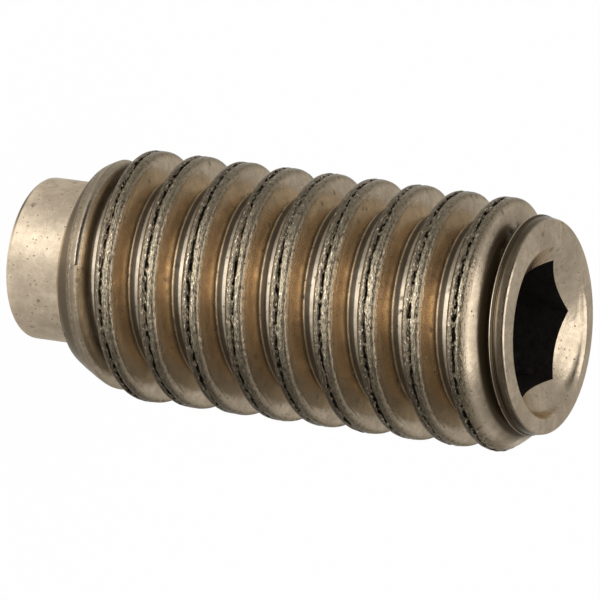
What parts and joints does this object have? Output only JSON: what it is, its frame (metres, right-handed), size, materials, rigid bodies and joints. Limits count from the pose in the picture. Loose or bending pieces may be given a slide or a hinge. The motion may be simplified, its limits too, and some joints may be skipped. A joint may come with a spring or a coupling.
{
  "type": "grub set screw",
  "caption": "Headless grub set screw with a rolled 60 degree thread, a half dog point and a hexagon socket with a countersunk mouth.",
  "frame": {"origin": "centre of the flat of the dog point, which the screw stands on", "axes": "+Z along the screw's axis from the point to the socket; +X is where the thread angle and the socket's corner angle are counted from"},
  "size_m": [0.0042, 0.0042, 0.0094],
  "materials": {
    "stainless_steel": "satin, warm grey-brown, with fine dark pits"
  },
  "bodies": {
    "root": {"set_screw": "stainless_steel"}
  },
  "joints": []
}
